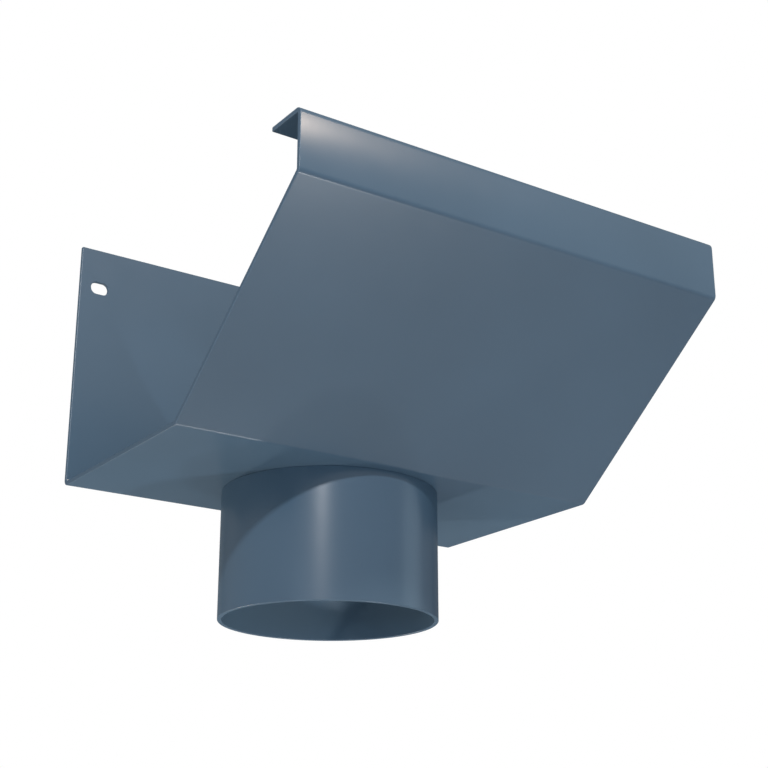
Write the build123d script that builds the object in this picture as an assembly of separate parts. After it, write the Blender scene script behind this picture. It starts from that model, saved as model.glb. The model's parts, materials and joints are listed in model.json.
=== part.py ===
from build123d import *
from math import atan2, pi, tan
import os

# A running outlet for a box gutter with a leaning front: one folded aluminium sheet with a round
# spigot welded under its sole. Millimetres. The origin is on the spigot's axis, level with the
# underside of the sole. X runs along the gutter, +Y points at the wall and +Z is up.

# Folded sheet
sheet_thickness = 2.0
inside_bend_radius = 1.0
gutter_length = 216.5

# Outlet spigot. Its upper end bears on the underside of the sole, which overlaps the outer part of
# its wall and leaves the inner part bare as a ledge for the weld. The margin is the flat strip of
# sole between the spigot and the bends in front and behind.
spigot_diameter = 100.0
spigot_wall = 2.0
spigot_drop = 59.0
spigot_overlap = 1.0
sole_margin = 2.0

# Profile, measured over the outside faces
back_height = 119.0
front_reach = 92.5
front_rise = 74.0
lip_height = 27.0
return_depth = 21.0

# Level slots in the back plate, with the travel that each leaves its screw
slot_width = 6.0
slot_travel = 3.0
slot_from_end = 10.0
slot_from_top = 19.5

# Weld on the water side: its height above the sole, its reach over the sole, and how far it stays
# back from the spigot's bore
weld_height = 0.7
weld_reach = 2.2
weld_setback = 0.2

# Worked-out sizes and places
outside_bend_radius = inside_bend_radius + sheet_thickness
spigot_radius = spigot_diameter / 2
bore_radius = spigot_radius - spigot_wall
hole_radius = spigot_radius - spigot_overlap
back_face_y = spigot_radius + sole_margin + outside_bend_radius
sole_fold_y = -back_face_y
lip_face_y = sole_fold_y - front_reach
return_edge_y = lip_face_y + return_depth
front_height = front_rise + lip_height
front_angle = atan2(front_rise, front_reach)


def folded_section():
    """The sheet's cross-section: its outside and inside faces with their bends, and its two edges."""
    outside_face = FilletPolyline(
        (back_face_y, back_height),
        (back_face_y, 0),
        (sole_fold_y, 0),
        (lip_face_y, front_rise),
        (lip_face_y, front_height),
        (return_edge_y, front_height),
        radius=outside_bend_radius,
    )
    # At a slanting bend the inside corner lies further in by the tangent of half the turn
    sole_fold_shift = sheet_thickness * tan(front_angle / 2)
    lip_fold_shift = sheet_thickness * tan((pi / 2 - front_angle) / 2)
    inside_face = FilletPolyline(
        (back_face_y - sheet_thickness, back_height),
        (back_face_y - sheet_thickness, sheet_thickness),
        (sole_fold_y + sole_fold_shift, sheet_thickness),
        (lip_face_y + sheet_thickness, front_rise + lip_fold_shift),
        (lip_face_y + sheet_thickness, front_height - sheet_thickness),
        (return_edge_y, front_height - sheet_thickness),
        radius=inside_bend_radius,
    )
    top_edge = Line(outside_face @ 0, inside_face @ 0)
    return_edge = Line(outside_face @ 1, inside_face @ 1)
    return make_face(outside_face + return_edge + inside_face + top_edge)


def fixing_slots():
    """Cutters for the two slots, one near each end of the back plate."""
    slot_spacing = gutter_length - 2 * slot_from_end
    slots = Sketch() + [
        place * SlotCenterToCenter(slot_travel, slot_width)
        for place in GridLocations(slot_spacing, 0, 2, 1)
    ]
    back_face = Plane.XZ.offset(-back_face_y)
    slot_height = back_height - slot_from_top
    return extrude(back_face * Pos(0, slot_height) * slots, amount=sheet_thickness)


def gutter_body():
    """The folded sheet, with the water's way out through the sole and the fixing slots."""
    sheet = extrude(Plane.YZ * folded_section(), amount=gutter_length / 2, both=True)
    hole = extrude(Circle(hole_radius), amount=sheet_thickness)
    return sheet - hole - fixing_slots()


def outlet_spigot():
    """The tube, from its open mouth up to the underside of the sole."""
    mouth = Pos(0, 0, -spigot_drop) * (Circle(spigot_radius) - Circle(bore_radius))
    return extrude(mouth, amount=spigot_drop)


def weld_bead():
    """The weld: a root on the spigot's ledge inside the hole, under a low rounded cap on the sole."""
    root_radius = bore_radius + weld_setback
    toe_radius = hole_radius + weld_reach
    seat = Polyline(
        (root_radius, sheet_thickness),
        (root_radius, 0),
        (hole_radius, 0),
        (hole_radius, sheet_thickness),
        (toe_radius, sheet_thickness),
    )
    crest = ((root_radius + toe_radius) / 2, sheet_thickness + weld_height)
    cap = ThreePointArc(seat @ 1, crest, seat @ 0)
    return revolve(Plane.XZ * make_face(seat + cap), Axis.Z)


os.makedirs("parts", exist_ok=True)
nodes = {
    "gutter_body": gutter_body(),
    "outlet_spigot": outlet_spigot(),
    "weld_bead": weld_bead(),
}
for name, solid in nodes.items():
    export_step(solid, f"parts/{name}.step")
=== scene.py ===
import json
from math import atan2, cos, pi, radians, sin, tan

import bmesh
import bpy
from bpy.props import FloatProperty, FloatVectorProperty, IntProperty, PointerProperty
from mathutils import Matrix, Vector, noise


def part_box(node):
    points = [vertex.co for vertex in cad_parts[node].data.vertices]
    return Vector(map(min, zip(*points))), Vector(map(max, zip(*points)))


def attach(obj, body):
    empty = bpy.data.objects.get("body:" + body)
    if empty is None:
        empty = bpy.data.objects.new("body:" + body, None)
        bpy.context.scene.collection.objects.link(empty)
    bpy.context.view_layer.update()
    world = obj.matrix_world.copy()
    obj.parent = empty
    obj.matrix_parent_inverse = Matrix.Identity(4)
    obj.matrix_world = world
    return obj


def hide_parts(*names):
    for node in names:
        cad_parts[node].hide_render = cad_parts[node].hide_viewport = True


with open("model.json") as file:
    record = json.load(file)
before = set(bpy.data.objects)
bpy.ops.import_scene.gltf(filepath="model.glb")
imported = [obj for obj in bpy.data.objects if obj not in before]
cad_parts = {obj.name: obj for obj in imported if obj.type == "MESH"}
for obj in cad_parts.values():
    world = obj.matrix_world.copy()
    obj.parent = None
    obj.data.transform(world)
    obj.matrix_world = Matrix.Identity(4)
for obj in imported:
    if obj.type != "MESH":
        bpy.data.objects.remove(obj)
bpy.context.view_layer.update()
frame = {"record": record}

bl_info = {
    "name": "Gutter outlet",
    "version": (1, 0, 0),
    "blender": (4, 5, 0),
    "location": "3D View > Sidebar > Gutter outlet",
    "description": "A powder-coated running outlet for a box gutter: folded sheet, spigot and weld",
    "category": "Add Mesh",
}

MM = 0.001

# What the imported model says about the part
body_low, body_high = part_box("gutter_body")
spigot_low, spigot_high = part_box("outlet_spigot")
_, weld_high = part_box("weld_bead")
mounts = {mount["name"]: mount for mount in frame["record"]["mounts"]}
slot_dims = mounts["fixing_slots"]["dims"]


def linear(hex_colour):
    """Scene-linear red, green and blue of an sRGB colour written as six hex digits."""
    channels = [int(hex_colour[place:place + 2], 16) / 255 for place in (0, 2, 4)]
    return tuple(c / 12.92 if c <= 0.04045 else ((c + 0.055) / 1.055) ** 2.4 for c in channels)


# Sizes and colours that a user would change

class OutletSizes(bpy.types.PropertyGroup):
    """Sizes of the folded sheet, the spigot and the weld."""

    sheet_thickness: FloatProperty(
        name="Sheet thickness",
        description="Thickness of the folded aluminium sheet",
        default=2.0 * MM,
        unit="LENGTH",
    )
    bend_radius: FloatProperty(
        name="Bend radius",
        description="Radius of the bends on the sheet's outside face",
        default=3.0 * MM,
        unit="LENGTH",
    )
    front_rise: FloatProperty(
        name="Front rise",
        description="Height of the fold between the leaning front and the lip",
        default=74.0 * MM,
        unit="LENGTH",
    )
    front_height: FloatProperty(
        name="Front height",
        description="Height of the return's upper face above the underside of the sole",
        default=101.0 * MM,
        unit="LENGTH",
    )
    return_depth: FloatProperty(
        name="Return depth",
        description="Depth of the level return at the top of the lip",
        default=21.0 * MM,
        unit="LENGTH",
    )
    sole_depth: FloatProperty(
        name="Sole depth",
        description="From the front fold to the back plate's outer face",
        default=2 * body_high.y,
        unit="LENGTH",
    )
    cut_edge_radius: FloatProperty(
        name="Cut edge radius",
        description="Rounding that deburring and the coat leave on a cut edge",
        default=0.3 * MM,
        unit="LENGTH",
    )
    hole_radius: FloatProperty(
        name="Hole radius",
        description="Radius of the hole in the sole",
        default=49.0 * MM,
        unit="LENGTH",
    )
    weld_setback: FloatProperty(
        name="Weld setback",
        description="How far the weld's inner edge stays back from the spigot's bore",
        default=0.2 * MM,
        unit="LENGTH",
    )
    ripple_pitch: FloatProperty(
        name="Ripple pitch",
        description="Distance from one ripple of the weld to the next",
        default=1.6 * MM,
        unit="LENGTH",
    )
    ripple_height: FloatProperty(
        name="Ripple height",
        description="Height of a weld ripple under the coat",
        default=0.16 * MM,
        unit="LENGTH",
    )
    crown: FloatProperty(
        name="Crown",
        description="How far a panel's shading turns towards a right-angled bend at its edge",
        default=radians(13.0),
        subtype="ANGLE",
    )
    spigot_steps: IntProperty(
        name="Spigot steps",
        description="Number of flats that make up the round of the spigot",
        default=192,
    )


class OutletFinish(bpy.types.PropertyGroup):
    """Colour and texture of the powder coat."""

    coat_colour: FloatVectorProperty(
        name="Coat colour",
        description="Colour of the powder coat on a flat face",
        default=linear("405568"),
        subtype="COLOR",
        min=0.0,
        max=1.0,
    )
    # A little lighter than the coat colour: partly the coat thinning on a cut edge, partly a
    # painted highlight along the edge
    thin_coat_and_highlight_colour: FloatVectorProperty(
        name="Thin coat and highlight colour",
        description="Colour of the powder coat where it thins on a cut edge",
        default=linear("44596C"),
        subtype="COLOR",
        min=0.0,
        max=1.0,
    )
    peel_size: FloatProperty(
        name="Orange peel size",
        description="Distance between the waves that the coat sets with",
        default=2.2 * MM,
        unit="LENGTH",
    )
    peel_depth: FloatProperty(
        name="Orange peel depth",
        description="Depth of the waves that the coat sets with",
        default=0.004 * MM,
        unit="LENGTH",
    )


class StudioSettings(bpy.types.PropertyGroup):
    """Where the camera stands, how it looks, and how low the floor is."""

    azimuth: FloatProperty(
        name="Azimuth",
        description="Direction that the camera looks in, from +Y towards +X",
        default=radians(34.462),
        subtype="ANGLE",
    )
    tilt: FloatProperty(
        name="Tilt",
        description="How far the camera looks up",
        default=radians(19.521),
        subtype="ANGLE",
    )
    position: FloatVectorProperty(
        name="Position",
        description="Place of the camera",
        default=(-362.7 * MM, -573.2 * MM, -185.2 * MM),
        subtype="TRANSLATION",
    )
    lens: FloatProperty(
        name="Lens",
        description="Focal length on a 36 mm sensor, in millimetres",
        default=70.62,
    )
    floor_height: FloatProperty(
        name="Floor height",
        description="Height of the floor, below the camera",
        default=-1000.0 * MM,
        unit="LENGTH",
    )


# Materials

# Sizes of the coat's patterns, and how far each one swings
FILM_SIZE = 70 * MM
FILM_DRIFT = 0.05
GLOSS_PATCH_SIZE = 12 * MM
SWELL_SIZE = 14 * MM
SWELL_DEPTH = 0.006 * MM

# Between these two lie nearly all the values of a noise texture
NOISE_LOW = 0.3
NOISE_HIGH = 0.7

# Past a roughness of about 0.273 the renderer's denoiser leaves specks on the coat
ROUGHNESS_LOW = 0.25
ROUGHNESS_HIGH = 0.272

# Specular level face on, the facing value at which the coat is at its mattest, and the share of
# the matt shader there
FACE_ON_SPECULAR = 0.4
MATT_FACING = 0.7
MATT_SHARE = 0.88


def add_node(tree, kind, settings=None, links=None):
    """Adds a shader node, sets its properties and input values, and links its inputs to outputs."""
    node = tree.nodes.new(kind)
    for name, value in (settings or {}).items():
        if isinstance(name, str) and hasattr(node, name):
            setattr(node, name, value)
        else:
            node.inputs[name].default_value = value
    for name, output in (links or {}).items():
        tree.links.new(output, node.inputs[name])
    return node


def powder_coat(name, colour, peel_size, peel_depth):
    """Polyester powder coat, sprayed dry on aluminium and cured in an oven.

    It gives the eye an even semi-gloss colour, whose depth drifts a little with film thickness. Its
    highlights waver slightly, because the coat has slow swells and sets with a fine orange peel.
    """
    material = bpy.data.materials.new(name)
    material.use_nodes = True
    tree = material.node_tree
    tree.nodes.clear()
    place = add_node(tree, "ShaderNodeTexCoord").outputs["Object"]

    # Film thickness drifts slowly along the part, and shifts the colour by a few percent
    film = add_node(
        tree, "ShaderNodeTexNoise",
        {"Scale": 1 / FILM_SIZE, "Detail": 2.0, "Roughness": 0.4},
        {"Vector": place},
    )
    colours = add_node(tree, "ShaderNodeValToRGB", None, {"Fac": film.outputs["Fac"]})
    dark, light = colours.color_ramp.elements
    dark.position = NOISE_LOW
    light.position = NOISE_HIGH
    dark.color = (*[(1 - FILM_DRIFT) * c for c in colour], 1)
    light.color = (*[(1 + FILM_DRIFT) * c for c in colour], 1)

    # Gloss varies in patches
    patches = add_node(
        tree, "ShaderNodeTexNoise",
        {"Scale": 1 / GLOSS_PATCH_SIZE, "Detail": 2.0},
        {"Vector": place},
    )
    roughness = add_node(
        tree, "ShaderNodeMapRange",
        {
            "From Min": NOISE_LOW,
            "From Max": NOISE_HIGH,
            "To Min": ROUGHNESS_LOW,
            "To Max": ROUGHNESS_HIGH,
        },
        {"Value": patches.outputs["Fac"]},
    )

    # Orange peel rides on slow swells
    peel = add_node(
        tree, "ShaderNodeTexNoise",
        {"Scale": 1 / peel_size, "Detail": 1.0, "Roughness": 0.35},
        {"Vector": place},
    )
    swell = add_node(
        tree, "ShaderNodeTexNoise",
        {"Scale": 1 / SWELL_SIZE, "Detail": 0.0},
        {"Vector": place},
    )
    swells = add_node(
        tree, "ShaderNodeBump",
        {"Strength": 1.0, "Distance": SWELL_DEPTH},
        {"Height": swell.outputs["Fac"]},
    )
    surface = add_node(
        tree, "ShaderNodeBump",
        {"Strength": 1.0, "Distance": peel_depth},
        {"Height": peel.outputs["Fac"], "Normal": swells.outputs["Normal"]},
    )

    # Glossy face on, and matt at a glancing angle, where the coat's fine texture scatters the gloss
    facing = add_node(tree, "ShaderNodeLayerWeight", {"Blend": 0.5}).outputs["Facing"]
    glance = add_node(
        tree, "ShaderNodeMapRange",
        {"From Min": 0.0, "From Max": MATT_FACING, "To Min": 0.0, "To Max": MATT_SHARE},
        {"Value": facing},
    )
    glossy, matt = (
        add_node(
            tree, "ShaderNodeBsdfPrincipled",
            {"Metallic": 0.0, "IOR": 1.5, "Specular IOR Level": level},
            {
                "Base Color": colours.outputs["Color"],
                "Roughness": roughness.outputs["Result"],
                "Normal": surface.outputs["Normal"],
            },
        )
        for level in (FACE_ON_SPECULAR, 0.0)
    )
    coat = add_node(
        tree, "ShaderNodeMixShader", None,
        {0: glance.outputs["Result"], 1: glossy.outputs["BSDF"], 2: matt.outputs["BSDF"]},
    )
    add_node(tree, "ShaderNodeOutputMaterial", None, {"Surface": coat.outputs["Shader"]})
    return material


def coat_materials(context, piece):
    """The coat on a piece's faces and, thinner and half as wavy, the one on its cut edges, whose
    colour is a little lighter: partly thin coat, partly a painted highlight.
    """
    finish = context.scene.outlet_finish
    return [
        powder_coat(
            f"polyester powder coat on {piece}",
            finish.coat_colour,
            finish.peel_size,
            finish.peel_depth,
        ),
        # The cut edges' coat: thinner, and lighter in colour as a painted highlight
        powder_coat(
            f"thin powder coat on {piece} edges",
            finish.thin_coat_and_highlight_colour,
            finish.peel_size,
            finish.peel_depth / 2,
        ),
    ]


# Pieces

# Two places closer than this count as one, and so do two directions whose cosine is above this
SAME_PLACE = 0.001 * MM
SAME_WAY = 0.9999

# An edge that turns by more than this is a cut edge
CUT_EDGE_TURN = radians(50)

# Flats along each round
CUT_EDGE_STEPS = 3
BEND_STEPS = 12
HOLE_STEPS = 128
SLOT_STEPS = 48
WELD_CAP_STEPS = 12
RIPPLE_STEPS = 6

# How far a weld ripple's ends trail its middle and how far it strays from an even pitch, both as
# angles of its wave, and the distance over which the straying changes
RIPPLE_BOW = 2.2
RIPPLE_STRAY = 0.5
STRAY_SIZE = 9 * MM


def finish_piece(context, bm, name, node, materials):
    """Turns a bmesh into a piece that stands for its CAD node and rides on the part's body."""
    bmesh.ops.recalc_face_normals(bm, faces=bm.faces)
    for face in bm.faces:
        face.smooth = True
    mesh = bpy.data.meshes.new(name)
    bm.to_mesh(mesh)
    bm.free()
    for material in materials:
        mesh.materials.append(material)
    piece = bpy.data.objects.new(name, mesh)
    context.scene.collection.objects.link(piece)
    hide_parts(node)
    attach(piece, "root")
    return piece


def round_cut_edges(piece, radius):
    """Rounds a piece's cut edges, as deburring and the coat do, in its second material, whose
    lighter colour is partly a painted highlight.
    """
    bevel = piece.modifiers.new("cut edges", "BEVEL")
    bevel.limit_method = "ANGLE"
    bevel.angle_limit = CUT_EDGE_TURN
    bevel.width = radius
    bevel.segments = CUT_EDGE_STEPS
    bevel.profile = 0.5
    bevel.material = 1
    bevel.harden_normals = True
    # The large faces have all the weight, so they are shaded as flat as they are
    shading = piece.modifiers.new("flat faces", "WEIGHTED_NORMAL")
    shading.keep_sharp = True
    shading.weight = 100


def apply_modifiers(context, piece):
    """Gives a piece the mesh that its modifiers make, and takes them off."""
    shaped = piece.evaluated_get(context.evaluated_depsgraph_get())
    mesh = bpy.data.meshes.new_from_object(shaped)
    piece.modifiers.clear()
    plain = piece.data
    piece.data = mesh
    bpy.data.meshes.remove(plain)
    mesh.name = piece.name


def fill_panel(bm, panel, holes):
    """Fills a panel's outline again around the outlines of its holes."""
    outline = list(panel.edges)
    normal = panel.normal.copy()
    bmesh.ops.delete(bm, geom=[panel], context="FACES_ONLY")
    bmesh.ops.triangle_fill(bm, edges=outline + holes, use_beauty=True, normal=normal)


def circle_edges(bm, radius, steps, matrix):
    """Edges of a new circle that lies where the matrix puts it."""
    circle = bmesh.ops.create_circle(bm, radius=radius, segments=steps, matrix=matrix)
    return list(dict.fromkeys(edge for vertex in circle["verts"] for edge in vertex.link_edges))


def turn_section(section, steps):
    """A new bmesh of a closed section, in radius and height, turned round the spigot's axis."""
    bm = bmesh.new()
    ring = [bm.verts.new((radius, 0, z)) for radius, z in section]
    edges = [bm.edges.new((ring[k], ring[(k + 1) % len(ring)])) for k in range(len(ring))]
    bmesh.ops.spin(
        bm,
        geom=ring + edges,
        cent=(0, 0, 0),
        axis=(0, 0, 1),
        angle=2 * pi,
        steps=steps,
        use_merge=True,
    )
    return bm


def panel_at(bm, normal, point):
    """The flat face square to that normal whose middle lies nearest to a point."""
    faces = [face for face in bm.faces if abs(face.normal.dot(normal)) > SAME_WAY]
    return min(faces, key=lambda face: (face.calc_center_median() - point).length)


class OUTLET_OT_folded_sheet(bpy.types.Operator):
    """Folds the sheet into back plate, sole, leaning front, lip and return"""

    bl_idname = "outlet.folded_sheet"
    bl_label = "Folded sheet"

    def execute(self, context):
        sizes = context.scene.outlet_sizes
        back = body_high.y
        front_fold = back - sizes.sole_depth
        lip = body_low.y
        corners = [
            (back, body_high.z),
            (back, 0.0),
            (front_fold, 0.0),
            (lip, sizes.front_rise),
            (lip, sizes.front_height),
            (lip + sizes.return_depth, sizes.front_height),
        ]

        # The outside face: a line of corners, drawn out along the gutter
        bm = bmesh.new()
        line = [bm.verts.new((body_low.x, y, z)) for y, z in corners]
        edges = [bm.edges.new(pair) for pair in zip(line, line[1:])]
        drawn = bmesh.ops.extrude_edge_only(bm, edges=edges)
        moved = [item for item in drawn["geom"] if isinstance(item, bmesh.types.BMVert)]
        bmesh.ops.translate(bm, verts=moved, vec=(body_high.x - body_low.x, 0, 0))
        bmesh.ops.recalc_face_normals(bm, faces=bm.faces)

        # The bends, each set back from its corner by the radius times the tangent of half its turn
        for y, z in corners[1:-1]:
            fold = next(
                edge for edge in bm.edges
                if all((end.co.yz - Vector((y, z))).length < SAME_PLACE for end in edge.verts)
            )
            turn = fold.calc_face_angle()
            bmesh.ops.bevel(
                bm,
                geom=[fold],
                affect="EDGES",
                offset_type="OFFSET",
                offset=sizes.bend_radius * tan(turn / 2),
                segments=BEND_STEPS,
                profile=0.5,
                material=-1,
            )

        # Two lines across the sheet, as far inside each slot as the end is outside it, so that each
        # slot and the hole has a panel of its own
        slot_centre = slot_dims["spacing_x_mm"] * MM / 2
        for place in (2 * slot_centre - body_high.x, body_high.x - 2 * slot_centre):
            bmesh.ops.bisect_plane(
                bm,
                geom=[*bm.verts, *bm.edges, *bm.faces],
                plane_co=(place, 0, 0),
                plane_no=(1, 0, 0),
            )

        self.cut_hole(bm, sizes)
        self.cut_slots(bm, slot_centre)
        piece = finish_piece(
            context, bm, "folded_sheet", "gutter_body",
            coat_materials(context, "sheet"),
        )
        wall = piece.modifiers.new("sheet thickness", "SOLIDIFY")
        wall.thickness = sizes.sheet_thickness
        wall.offset = self.inward_side(piece)
        wall.use_even_offset = True
        wall.use_quality_normals = True
        round_cut_edges(piece, sizes.cut_edge_radius)
        apply_modifiers(context, piece)
        self.shade_crown(piece.data, corners, sizes)
        return {"FINISHED"}

    def shade_crown(self, mesh, corners, sizes):
        """Turns the shading of the panels a little towards the front fold and the top bend.

        Folding crowns a panel, and a wide soft highlight shows it. The mesh stays flat. Along the
        section, the normal turns at an even rate over each panel and over each bend, on the sheet's
        outside face and on its water side.
        """
        # Every bend turns the same way, so the panels' outward angles fall from nought at the back
        points = [Vector(corner) for corner in corners]
        along = [(end - start).normalized() for start, end in zip(points, points[1:])]
        turns = [0.0, *(before.angle(after) for before, after in zip(along, along[1:])), 0.0]
        angles = [-sum(turns[:index + 1]) for index in range(len(along))]
        setbacks = [sizes.bend_radius * tan(turn / 2) for turn in turns]

        # The back bend and the lip's shallow fold leave their panels flat
        tilts = [sizes.crown * turn / (pi / 2) for turn in turns]
        tilts[1] = tilts[3] = 0.0

        # How far off the sheet's faces a face may lie, how far it may look along the gutter, and
        # how near its own normal comes to the section's, as a cosine, where it isn't a cut edge
        slack = 0.05 * MM
        sideways = 0.01
        near = 0.9

        def outward(angle):
            """The way in y and z that an angle stands for."""
            return Vector((cos(angle), sin(angle)))

        def panel_angle(index, point):
            """The normal's angle at a point of a flat panel."""
            run = (point - points[index]).dot(along[index]) - setbacks[index]
            length = (points[index + 1] - points[index]).length
            share = run / (length - setbacks[index] - setbacks[index + 1])
            share = min(max(share, 0.0), 1.0)
            return angles[index] + tilts[index] * (1 - share) - tilts[index + 1] * share

        def bend_angle(index, point, centre):
            """The normal's angle at a point of the bend before a panel."""
            share = outward(angles[index - 1]).angle(point - centre) / turns[index]
            share = min(max(share, 0.0), 1.0)
            return angles[index - 1] - tilts[index] - (turns[index] - 2 * tilts[index]) * share

        def angle_and_side(middle):
            """The normal's angle, as a function of a point, where a face's middle lies.

            The second value is 1 on the outside, -1 on the water side and 0 where it is neither.
            """
            for index, start in enumerate(points[:-1]):
                run = (middle - start).dot(along[index])
                depth = -(middle - start).dot(outward(angles[index]))
                length = (points[index + 1] - start).length
                if setbacks[index] < run < length - setbacks[index + 1]:
                    if abs(depth) < slack:
                        return lambda point: panel_angle(index, point), 1
                    if abs(depth - sizes.sheet_thickness) < slack:
                        return lambda point: panel_angle(index, point), -1
                if index and (middle - start).length < 2 * sizes.bend_radius:
                    half_turn = outward((angles[index - 1] + angles[index]) / 2)
                    centre = start - half_turn * sizes.bend_radius / cos(turns[index] / 2)
                    radius = (middle - centre).length
                    if abs(radius - sizes.bend_radius) < slack:
                        return lambda point: bend_angle(index, point, centre), 1
                    if abs(radius - sizes.bend_radius + sizes.sheet_thickness) < slack:
                        return lambda point: bend_angle(index, point, centre), -1
            return None, 0

        normals = [corner.vector.copy() for corner in mesh.corner_normals]
        for face in mesh.polygons:
            if abs(face.normal.x) > sideways:
                continue
            angle_at, side = angle_and_side(face.center.yz)
            if side == 0 or face.normal.yz.dot(outward(angle_at(face.center.yz))) * side < near:
                continue
            for loop in face.loop_indices:
                vertex = mesh.vertices[mesh.loops[loop].vertex_index]
                y, z = side * outward(angle_at(vertex.co.yz))
                normals[loop] = Vector((0, y, z))
        mesh.normals_split_custom_set(normals)

    def cut_hole(self, bm, sizes):
        """Cuts the water's way out through the sole."""
        sole = panel_at(bm, Vector((0, 0, 1)), Vector((0, 0, 0)))
        hole = circle_edges(bm, sizes.hole_radius, HOLE_STEPS, Matrix.Identity(4))
        fill_panel(bm, sole, hole)

    def cut_slots(self, bm, slot_centre):
        """Cuts the two fixing slots: circles whose halves are drawn apart."""
        radius = slot_dims["hole_r_mm"] * MM
        travel = slot_dims["slot_length_mm"] * MM - 2 * radius
        height = mounts["fixing_slots"]["pos_m"][2]
        # Stood up in the back plate, and turned by half a step so that no point is on the middle
        stand = Matrix.Rotation(pi / 2, 4, "X") @ Matrix.Rotation(pi / SLOT_STEPS, 4, "Z")
        for centre in (-slot_centre, slot_centre):
            place = Matrix.Translation((centre, body_high.y, height))
            outline = circle_edges(bm, radius, SLOT_STEPS, place @ stand)
            for vertex in {vertex for edge in outline for vertex in edge.verts}:
                vertex.co.x += travel / 2 if vertex.co.x > centre else -travel / 2
            end = panel_at(bm, Vector((0, 1, 0)), Vector((centre, body_high.y, body_high.z / 2)))
            fill_panel(bm, end, outline)

    def inward_side(self, piece):
        """The Solidify offset that puts the thickness on the water side of the outside face."""
        sole = next(face for face in piece.data.polygons if abs(face.normal.z) > SAME_WAY)
        return -1.0 if sole.normal.z < 0 else 1.0


class OUTLET_OT_spigot(bpy.types.Operator):
    """Turns the round spigot under the sole"""

    bl_idname = "outlet.spigot"
    bl_label = "Outlet spigot"

    def execute(self, context):
        sizes = context.scene.outlet_sizes
        bore = mounts["outlet_bore"]["dims"]["r_mm"] * MM
        outside = mounts["outlet_spigot"]["dims"]["r_mm"] * MM
        wall = [
            (bore, spigot_low.z),
            (outside, spigot_low.z),
            (outside, spigot_high.z),
            (bore, spigot_high.z),
        ]
        bm = turn_section(wall, sizes.spigot_steps)
        piece = finish_piece(
            context, bm, "spigot", "outlet_spigot",
            coat_materials(context, "tube"),
        )
        round_cut_edges(piece, sizes.cut_edge_radius)
        return {"FINISHED"}


class OUTLET_OT_weld(bpy.types.Operator):
    """Lays the rippled weld between the spigot and the sole"""

    bl_idname = "outlet.weld"
    bl_label = "Weld bead"

    def execute(self, context):
        sizes = context.scene.outlet_sizes
        toe = weld_high.x
        root = mounts["outlet_bore"]["dims"]["r_mm"] * MM + sizes.weld_setback
        sole_top = sizes.sheet_thickness
        crest = weld_high.z
        half_width = (toe - root) / 2
        middle = (toe + root) / 2

        # The section: a root down to the spigot's end, and a rounded cap over the seam
        section = [(root, 0.0)]
        for step in range(WELD_CAP_STEPS + 1):
            angle = pi - pi * step / WELD_CAP_STEPS
            section.append((
                middle + half_width * cos(angle),
                sole_top + (crest - sole_top - sizes.ripple_height) * sin(angle),
            ))
        section.append((sizes.hole_radius, sole_top))
        section.append((sizes.hole_radius, 0.0))
        ripples = round(2 * pi * middle / sizes.ripple_pitch)
        bm = turn_section(section, RIPPLE_STEPS * ripples)
        for vertex in bm.verts:
            if vertex.co.z > sole_top + SAME_PLACE:
                self.ripple(vertex, sizes, ripples, middle, half_width)
        finish_piece(
            context, bm, "weld", "weld_bead",
            coat_materials(context, "weld")[:1],
        )
        return {"FINISHED"}

    def ripple(self, vertex, sizes, ripples, middle, half_width):
        """Raises a point of the cap by the crescent ripple that it lies on."""
        radius = vertex.co.xy.length
        angle = atan2(vertex.co.y, vertex.co.x)
        across = (radius - middle) / half_width
        stray = RIPPLE_STRAY * noise.noise(vertex.co / STRAY_SIZE)
        phase = ripples * angle + RIPPLE_BOW * across * across + stray
        height = sizes.ripple_height * (1 - across * across)
        vertex.co.z += height * (1 + cos(phase)) / 2


# Stage

# Width of the camera's sensor in millimetres
SENSOR_WIDTH = 36.0

# Half the floor's side in metres, its colour, and its glow, where a strength of 1 is white
FLOOR_REACH = 20.0
FLOOR_COLOUR = "F0F0F0"
FLOOR_GLOW = 0.5

# Strength of the surroundings' own light on the part
SOFT_LIGHT = 0.15

# The lamps turn to this place, near the outlet's middle
LAMP_TARGET = Vector((0, -30 * MM, 20 * MM))

# Colours of the lamps
WHITE = "FFFFFF"
WARM = "FFEBD8"
COOL = "D2EDFF"

# Each lamp's name, direction from its target (azimuth from -Y towards +X, and elevation, in
# degrees), distance and size in metres, power in watts, and colour
LAMPS = (
    ("key", -41, 24, 1.9, 0.1, 20.6, WHITE),
    ("front right", 25, 48, 1.8, 0.12, 25.5, WARM),
    ("near the camera", -26, -12, 1.8, 0.4, 2.2, COOL),
    ("left", -60, -5, 1.8, 0.2, 4.6, COOL),
    ("right", 64, 3, 1.5, 0.7, 3.2, COOL),
    ("low right", 33, -52, 1.2, 0.06, 3.4, WHITE),
    ("low behind", 178, -39, 1.3, 0.08, 7.0, WARM),
    ("low behind right", 127, -61, 1.12, 0.05, 1.2, WHITE),
    ("low behind left", -131, -32, 1.4, 0.1, 7.7, WARM),
    ("above", 0, 60, 1.6, 0.6, 1.7, WHITE),
    ("behind above", 165, 48, 0.9, 0.3, 4.0, WHITE),
)


def area_light(context, name, place, size, power, colour):
    """A square soft light at a place, turned towards the lamps' target."""
    light = bpy.data.lights.new(name, "AREA")
    light.size = size
    light.energy = power
    light.color = colour
    lamp = bpy.data.objects.new(name, light)
    context.scene.collection.objects.link(lamp)
    lamp.location = place
    lamp.rotation_euler = (LAMP_TARGET - place).to_track_quat("-Z", "Y").to_euler()
    lamp.visible_camera = False


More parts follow.
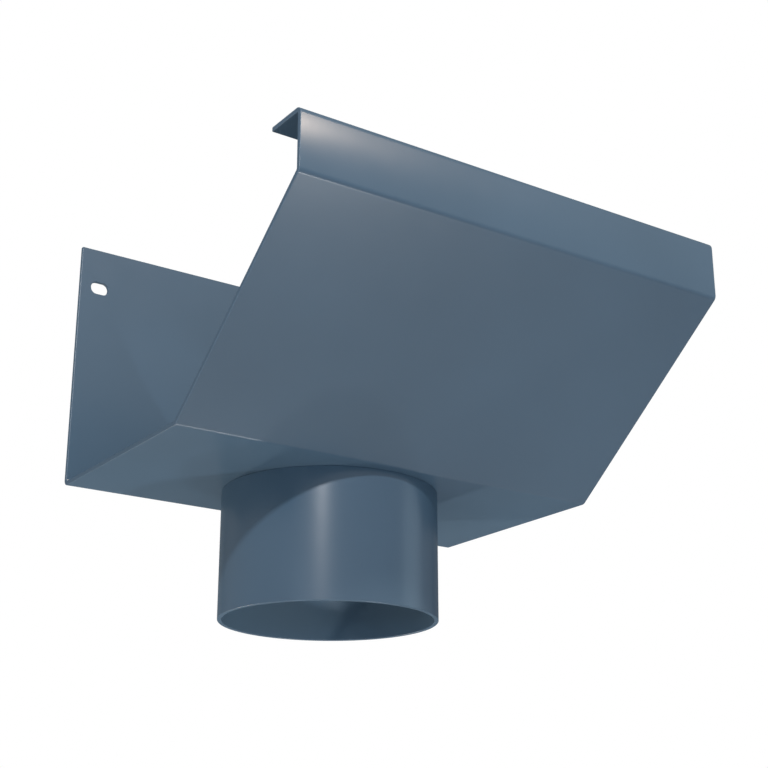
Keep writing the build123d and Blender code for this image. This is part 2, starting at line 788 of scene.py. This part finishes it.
class OUTLET_OT_stage(bpy.types.Operator):
    """Sets the floor, the soft lights, the white surroundings and the camera"""

    bl_idname = "outlet.stage"
    bl_label = "Stage"

    def execute(self, context):
        studio = context.scene.outlet_studio
        self.set_camera(context, studio)
        self.lay_floor(context, studio)
        self.light_world(context)
        self.place_lights(context)
        context.scene.view_settings.view_transform = "Standard"
        return {"FINISHED"}

    def set_camera(self, context, studio):
        """Puts the camera below and in front of the outlet, as in the photograph."""
        camera = bpy.data.cameras.new("camera")
        camera.sensor_width = SENSOR_WIDTH
        camera.lens = studio.lens
        viewer = bpy.data.objects.new("camera", camera)
        context.scene.collection.objects.link(viewer)
        viewer.location = studio.position
        viewer.rotation_euler = (pi / 2 + studio.tilt, 0.0, -studio.azimuth)
        context.scene.camera = viewer

    def lay_floor(self, context, studio):
        """A pale floor, well below the outlet and the camera."""
        bm = bmesh.new()
        bmesh.ops.create_grid(bm, x_segments=1, y_segments=1, size=FLOOR_REACH)
        bmesh.ops.translate(bm, verts=bm.verts, vec=(0, 0, studio.floor_height))
        mesh = bpy.data.meshes.new("floor")
        bm.to_mesh(mesh)
        bm.free()
        floor = bpy.data.objects.new("floor", mesh)
        context.scene.collection.objects.link(floor)
        material = bpy.data.materials.new("matt white studio floor")
        material.use_nodes = True
        tree = material.node_tree
        tree.nodes.clear()
        # It glows to the camera and in reflections alone, and keeps the outlet's shadow
        glow = add_node(
            tree, "ShaderNodeMath",
            {"operation": "MULTIPLY", 1: FLOOR_GLOW},
            {0: self.seen_rays(tree)},
        )
        paint = add_node(
            tree, "ShaderNodeBsdfPrincipled",
            {
                "Base Color": (*linear(FLOOR_COLOUR), 1),
                "Roughness": 0.9,
                "Specular IOR Level": 0.0,
                "Emission Color": (1, 1, 1, 1),
            },
            {"Emission Strength": glow.outputs["Value"]},
        )
        add_node(tree, "ShaderNodeOutputMaterial", None, {"Surface": paint.outputs["BSDF"]})
        mesh.materials.append(material)

    def seen_rays(self, tree):
        """One for rays of the camera, a glossy face or glass, and nought for the rest."""
        path = add_node(tree, "ShaderNodeLightPath")
        seen = path.outputs["Is Camera Ray"]
        for ray in ("Is Glossy Ray", "Is Transmission Ray"):
            either = add_node(
                tree, "ShaderNodeMath", {"operation": "MAXIMUM"}, {0: seen, 1: path.outputs[ray]}
            )
            seen = either.outputs["Value"]
        return seen

    def light_world(self, context):
        """White to the camera and in reflections, and a soft grey light on the part."""
        world = bpy.data.worlds.new("studio")
        context.scene.world = world
        world.use_nodes = True
        tree = world.node_tree
        tree.nodes.clear()
        soft, white = (
            add_node(
                tree, "ShaderNodeBackground", {"Color": (1, 1, 1, 1), "Strength": strength}
            ).outputs["Background"]
            for strength in (SOFT_LIGHT, 1.0)
        )
        mix = add_node(
            tree, "ShaderNodeMixShader", None, {0: self.seen_rays(tree), 1: soft, 2: white}
        )
        add_node(tree, "ShaderNodeOutputWorld", None, {"Surface": mix.outputs["Shader"]})

    def place_lights(self, context):
        """Small soft lamps all round the outlet."""
        for name, azimuth, elevation, distance, size, power, colour in LAMPS:
            turn, rise = radians(azimuth), radians(elevation)
            way = Vector((sin(turn) * cos(rise), -cos(turn) * cos(rise), sin(rise)))
            area_light(context, name, LAMP_TARGET + distance * way, size, power, linear(colour))


class OUTLET_PT_sidebar(bpy.types.Panel):
    """Lists the outlet's pieces and settings in the sidebar"""

    bl_idname = "OUTLET_PT_sidebar"
    bl_label = "Gutter outlet"
    bl_space_type = "VIEW_3D"
    bl_region_type = "UI"
    bl_category = "Gutter outlet"

    def draw(self, context):
        layout = self.layout
        for operator in OPERATORS:
            layout.operator(operator.bl_idname)
        for settings in SETTINGS:
            group = getattr(context.scene, settings)
            for name in group.bl_rna.properties.keys():
                if name not in ("rna_type", "name"):
                    layout.prop(group, name)


SETTINGS = {
    "outlet_sizes": OutletSizes,
    "outlet_finish": OutletFinish,
    "outlet_studio": StudioSettings,
}
OPERATORS = (OUTLET_OT_folded_sheet, OUTLET_OT_spigot, OUTLET_OT_weld, OUTLET_OT_stage)


def register():
    for group in SETTINGS.values():
        bpy.utils.register_class(group)
    for name, group in SETTINGS.items():
        setattr(bpy.types.Scene, name, PointerProperty(type=group))
    for operator in OPERATORS:
        bpy.utils.register_class(operator)
    bpy.utils.register_class(OUTLET_PT_sidebar)


def unregister():
    bpy.utils.unregister_class(OUTLET_PT_sidebar)
    for operator in reversed(OPERATORS):
        bpy.utils.unregister_class(operator)
    for name in SETTINGS:
        delattr(bpy.types.Scene, name)
    for group in reversed(SETTINGS.values()):
        bpy.utils.unregister_class(group)


def main():
    """Makes the pieces and the stage."""
    register()
    bpy.ops.outlet.folded_sheet()
    bpy.ops.outlet.spigot()
    bpy.ops.outlet.weld()
    bpy.ops.outlet.stage()


if __name__ == "__main__":
    main()
